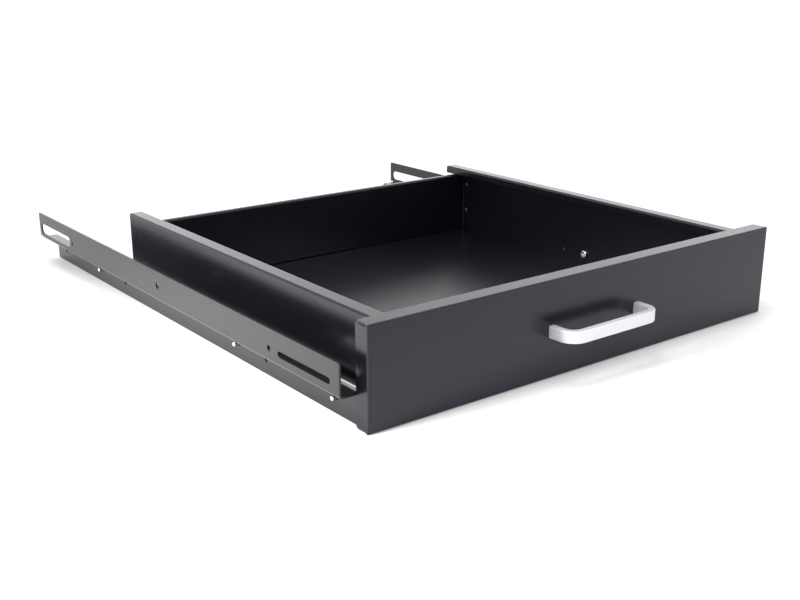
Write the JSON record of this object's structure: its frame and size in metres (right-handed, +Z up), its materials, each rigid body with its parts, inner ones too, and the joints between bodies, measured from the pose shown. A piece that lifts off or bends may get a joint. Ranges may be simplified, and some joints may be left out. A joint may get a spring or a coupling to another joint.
{
  "type": "sliding rack drawer",
  "caption": "Shallow black steel drawer with a bar pull, running on ball-bearing slides between long slotted rails that bolt to the sides of an equipment rack.",
  "frame": {"origin": "centre of the footprint, on the surface that the closed drawer stands on", "axes": "+X to the right seen from the front, +Y from the front to the rear, +Z up"},
  "size_m": [0.4684, 0.601, 0.08],
  "materials": {
    "black_coat": "satin black powder coat",
    "rail_coat": "semi-matt black powder coat",
    "satin_aluminium": "satin",
    "zinc_steel": "bright zinc plate",
    "cage_steel": "plain rolled steel",
    "ball_steel": "polished",
    "dark_rivet": "dark plated",
    "black_plastic": "moulded, fine texture"
  },
  "bodies": {
    "chassis": {"rail_left": "rail_coat", "slide_outer_left": "zinc_steel", "rail_screws_left": "zinc_steel", "rear_bumper_left": "black_plastic", "cage_stop_left": "zinc_steel", "rail_right": "rail_coat", "slide_outer_right": "zinc_steel", "rail_screws_right": "zinc_steel", "rear_bumper_right": "black_plastic", "cage_stop_right": "zinc_steel"},
    "drawer": {"front_panel": "black_coat", "pull_handle": "satin_aluminium", "handle_screws": "zinc_steel", "rear_wall": "black_coat", "floor_pan": "black_coat", "corner_rivets": "dark_rivet", "front_studs": "zinc_steel", "front_nuts": "zinc_steel", "side_wall_left": "black_coat", "slide_inner_left": "zinc_steel", "inner_screws_left": "zinc_steel", "travel_stop_left": "black_plastic", "side_wall_right": "black_coat", "slide_inner_right": "zinc_steel", "inner_screws_right": "zinc_steel", "travel_stop_right": "black_plastic"},
    "cage_left": {"ball_cage_left": "cage_steel", "slide_balls_left": "ball_steel"},
    "cage_right": {"ball_cage_right": "cage_steel", "slide_balls_right": "ball_steel"}
  },
  "joints": [
    {"name": "drawer_travel", "type": "slide", "parent": "chassis", "child": "drawer", "axis": [0, -1, 0], "range_m": [0, 0.37]},
    {"name": "cage_travel_left", "type": "slide", "parent": "chassis", "child": "cage_left", "axis": [0, -1, 0], "range_m": [0, 0.185]},
    {"name": "cage_travel_right", "type": "slide", "parent": "chassis", "child": "cage_right", "axis": [0, -1, 0], "range_m": [0, 0.185]}
  ],
  "couplings": [
    {"joint": "cage_travel_left", "follows": "drawer_travel", "ratio": 0.5},
    {"joint": "cage_travel_right", "follows": "drawer_travel", "ratio": 0.5}
  ]
}
